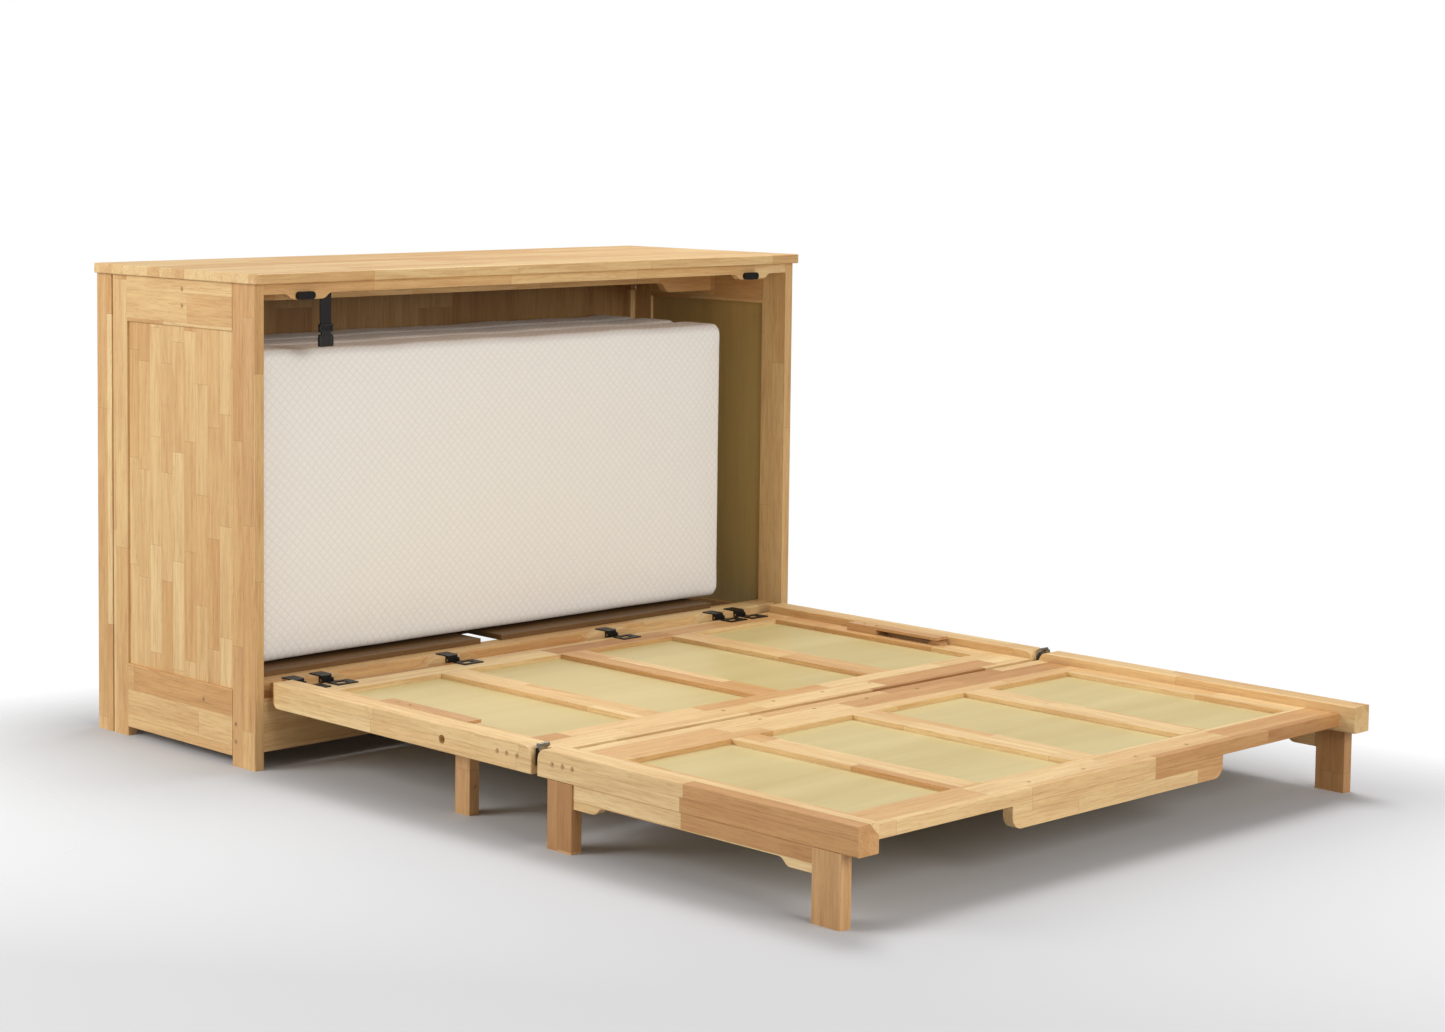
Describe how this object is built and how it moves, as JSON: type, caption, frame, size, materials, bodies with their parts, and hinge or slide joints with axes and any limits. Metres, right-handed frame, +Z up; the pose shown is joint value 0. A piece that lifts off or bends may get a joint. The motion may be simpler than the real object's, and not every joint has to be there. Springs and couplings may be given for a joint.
{
  "type": "cabinet wall bed",
  "caption": "Freestanding wooden cabinet holding a folded mattress, with a panelled bed deck that folds out in two hinged sections on legs.",
  "frame": {"origin": "on the floor, under the middle of the opened object's outer box", "axes": "+X to the right when facing the cabinet's open front, +Y from the foot of the bed toward the back of the cabinet, +Z up"},
  "size_m": [1.68, 2.239, 1.055],
  "materials": {
    "wood": "clear satin lacquer over finger-jointed hardwood staves",
    "panel_wood": "clear satin lacquer over veneered board",
    "inner_wood": "plain sanded wood",
    "mattress": "quilted knitted cover",
    "black_steel": "black powder coat",
    "bright_steel": "zinc plated",
    "screw_steel": "yellow zinc plated",
    "webbing": "woven webbing",
    "black_plastic": "moulded",
    "rubber": "moulded"
  },
  "bodies": {
    "cabinet": {"back_planks": "inner_wood", "back_rails": "inner_wood", "cabinet_screws": "screw_steel", "catches": "black_steel", "deck_joists": "inner_wood", "deck_ledger": "inner_wood", "front_apron": "wood", "hinge_leaves": "black_steel", "hinge_pins": "bright_steel", "hinge_rail": "wood", "kick_board": "wood", "left_back_post": "wood", "left_deck_board": "inner_wood", "left_front_post": "wood", "left_rear_stile": "wood", "left_side_panel": "panel_wood", "left_side_rails": "wood", "mattress_back": "mattress", "mattress_front": "mattress", "mattress_middle": "mattress", "rear_apron": "wood", "right_back_post": "wood", "right_deck_board": "inner_wood", "right_front_post": "wood", "right_rear_stile": "wood", "right_side_panel": "panel_wood", "right_side_rails": "wood", "stay_pin": "bright_steel", "strap_buckle": "black_plastic", "strap_webbing": "webbing", "top_battens": "wood", "top_board": "wood"},
    "inner_section": {"inner_left_rail": "wood", "inner_right_rail": "wood", "inner_hinge_rail": "wood", "inner_fold_rail": "wood", "inner_stiles": "wood", "inner_muntins": "wood", "inner_panels": "panel_wood", "left_leg_guard": "wood", "right_leg_guard": "wood", "hinge_plates": "black_steel", "fold_hinge_arms": "bright_steel", "pivot_bolts": "bright_steel", "inner_screws": "screw_steel"},
    "outer_section": {"outer_left_rail": "wood", "outer_right_rail": "wood", "outer_fold_rail": "wood", "outer_front_rail": "wood", "outer_bars": "wood", "outer_panels": "panel_wood", "pull_board": "wood", "outer_legs": "wood", "leg_aprons": "wood", "fold_hinge_plates": "bright_steel", "outer_screws": "screw_steel"},
    "left_leg": {"left_swing_leg": "wood", "left_leg_stop": "rubber"},
    "right_leg": {"right_swing_leg": "wood", "right_leg_stop": "rubber"}
  },
  "joints": [
    {"name": "bed_lift", "type": "hinge", "parent": "cabinet", "child": "inner_section", "pos_m": [0, 0.5175, 0.176], "axis": [-1, 0, 0], "range_deg": [0, 88], "deforming": ["strap_webbing", "strap_buckle"]},
    {"name": "section_fold", "type": "hinge", "parent": "inner_section", "child": "outer_section", "pos_m": [0, -0.307, 0.19], "axis": [-1, 0, 0], "range_deg": [0, 180]},
    {"name": "left_leg_swing", "type": "hinge", "parent": "inner_section", "child": "left_leg", "pos_m": [-0.7275, -0.0375, 0.159], "axis": [1, 0, 0], "range_deg": [0, 88]},
    {"name": "right_leg_swing", "type": "hinge", "parent": "inner_section", "child": "right_leg", "pos_m": [0.7275, -0.0375, 0.159], "axis": [1, 0, 0], "range_deg": [0, 88]}
  ],
  "couplings": [
    {"joint": "left_leg_swing", "follows": "bed_lift", "ratio": 1},
    {"joint": "right_leg_swing", "follows": "bed_lift", "ratio": 1}
  ]
}
